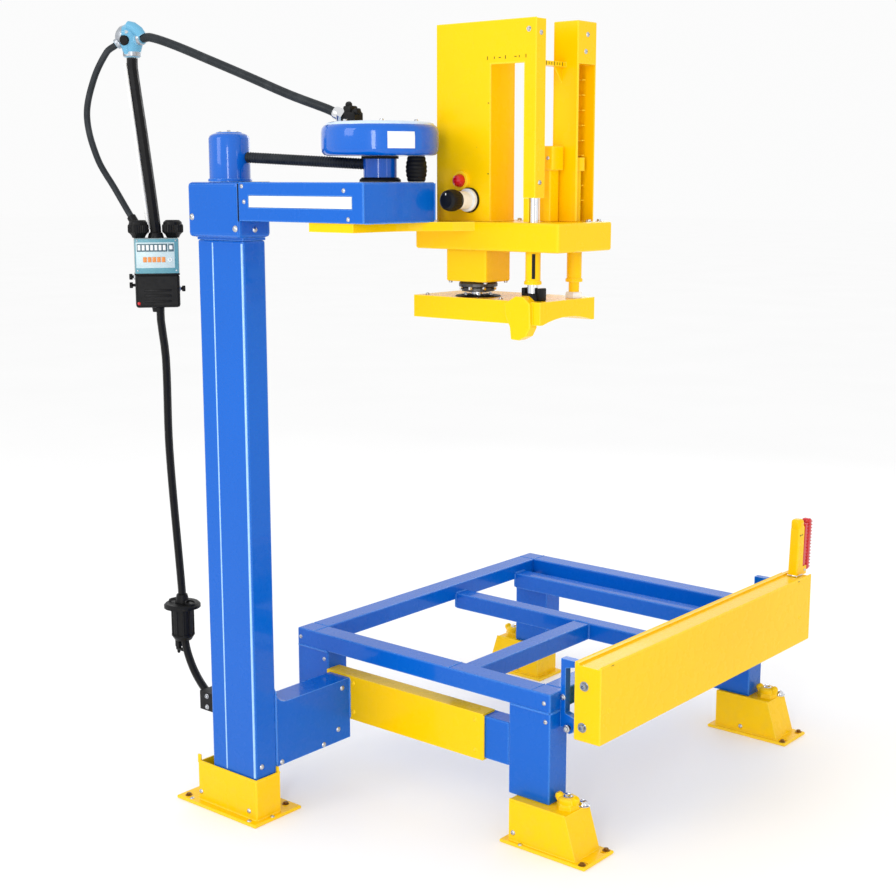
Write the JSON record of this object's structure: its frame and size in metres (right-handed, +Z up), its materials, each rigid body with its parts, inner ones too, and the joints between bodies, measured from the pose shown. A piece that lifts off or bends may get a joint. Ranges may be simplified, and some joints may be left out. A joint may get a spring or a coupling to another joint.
{
  "type": "tire changer machine",
  "caption": "Heavy-duty tire changer: floor bed with a fold-down side guard, a column with a swinging arm, a hydraulic press head and a control pendant on a mast.",
  "frame": {"origin": "on the floor under the middle of the machine's bounding box, hoses left out", "axes": "+Z up, +X along the bed's front rail towards the side guard, +Y from the column over the bed"},
  "size_m": [1.544, 1.8266, 2.338],
  "materials": {
    "blue_paint": "glossy enamel over welded steel",
    "yellow_paint": "glossy enamel over folded steel",
    "black_plastic": "fine moulded grain",
    "white_plastic": "gloss",
    "red_plastic": "gloss",
    "pale_blue_metal": "thin gloss coat over a casting",
    "grey_plastic": "satin",
    "rubber_hose": "satin rubber",
    "chrome": "polished",
    "dark_steel": "oiled, turned"
  },
  "bodies": {
    "stand": {"bed_front_rail": "blue_paint", "bed_rear_rail": "blue_paint", "bed_left_rail": "blue_paint", "bed_right_rail": "blue_paint", "bed_middle_rail": "blue_paint", "cross_member_front": "blue_paint", "cross_member_rear": "blue_paint", "leg_front_left": "blue_paint", "leg_front_right": "blue_paint", "leg_rear_left": "blue_paint", "leg_rear_right": "blue_paint", "lower_front_beam": "blue_paint", "beam_sleeve": "yellow_paint", "column_foot": "yellow_paint", "foot_front_right": "yellow_paint", "foot_rear_right": "yellow_paint", "foot_rear_left": "yellow_paint", "column": "blue_paint", "tie_beam": "blue_paint", "pivot_shaft": "blue_paint", "guard_bracket_front": "blue_paint", "guard_bracket_rear": "blue_paint", "guard_hinge_rod": "dark_steel", "mast_socket": "black_plastic", "mast_tube": "black_plastic", "mast_pole": "black_plastic", "mast_head": "pale_blue_metal", "pendant_case": "black_plastic", "pendant_cover": "grey_plastic", "pendant_gland": "black_plastic", "hose_loop": "rubber_hose", "hose_feed": "rubber_hose"},
    "arm": {"swing_head": "blue_paint", "spindle_cap": "blue_paint", "arm_beam": "blue_paint", "carriage_plate": "yellow_paint", "base_plate": "yellow_paint", "manifold_cover": "blue_paint", "manifold_neck": "blue_paint", "cable_bellows": "black_plastic", "conduit": "rubber_hose", "hose_fitting": "black_plastic", "tower_front": "yellow_paint", "cylinder_housing": "yellow_paint", "rear_post": "yellow_paint", "ram_housing": "yellow_paint", "ram_gland": "dark_steel", "cylinder_tube": "dark_steel", "valve_body": "white_plastic", "guide_post": "yellow_paint"},
    "press": {"ram_rod": "chrome", "platen": "yellow_paint", "guide_rod_front": "chrome", "guide_rod_rear": "yellow_paint"},
    "valve_turn": {"valve_knob": "black_plastic"},
    "button": {"red_button": "red_plastic"},
    "guard": {"side_guard": "yellow_paint", "grip_post": "yellow_paint"},
    "lever": {"squeeze_lever": "red_plastic"},
    "dial": {"pendant_knob": "black_plastic"}
  },
  "joints": [
    {"name": "arm_swing", "type": "hinge", "parent": "stand", "child": "arm", "pos_m": [-0.28675, -0.8218, 1.7283], "axis": [0, 0, 1], "range_deg": [-90, 35], "deforming": ["hose_feed"]},
    {"name": "press_slide", "type": "slide", "parent": "arm", "child": "press", "axis": [0, 0, -1], "range_m": [0, 0.12]},
    {"name": "valve_knob_turn", "type": "hinge", "parent": "arm", "child": "valve_turn", "pos_m": [0.32825, -0.5103, 1.833], "axis": [0, -1, 0], "range_deg": [-45, 45]},
    {"name": "red_button_press", "type": "slide", "parent": "arm", "child": "button", "axis": [0, 1, 0], "range_m": [0, 0.005], "stiffness_N_per_m": 400, "springref_m": -0.002},
    {"name": "guard_fold", "type": "hinge", "parent": "stand", "child": "guard", "pos_m": [0.60625, 0.1967, 0.36], "axis": [0, 1, 0], "range_deg": [0, 90]},
    {"name": "lever_squeeze", "type": "hinge", "parent": "guard", "child": "lever", "pos_m": [0.67625, 0.8667, 0.574], "axis": [1, 0, 0], "range_deg": [0, 6], "stiffness_Nm_per_rad": 4, "springref_deg": -5.73},
    {"name": "pendant_knob_turn", "type": "hinge", "parent": "stand", "child": "dial", "pos_m": [-0.58797, -0.7839, 1.7173], "axis": [0, 0, 1], "range_deg": [-135, 135]}
  ]
}
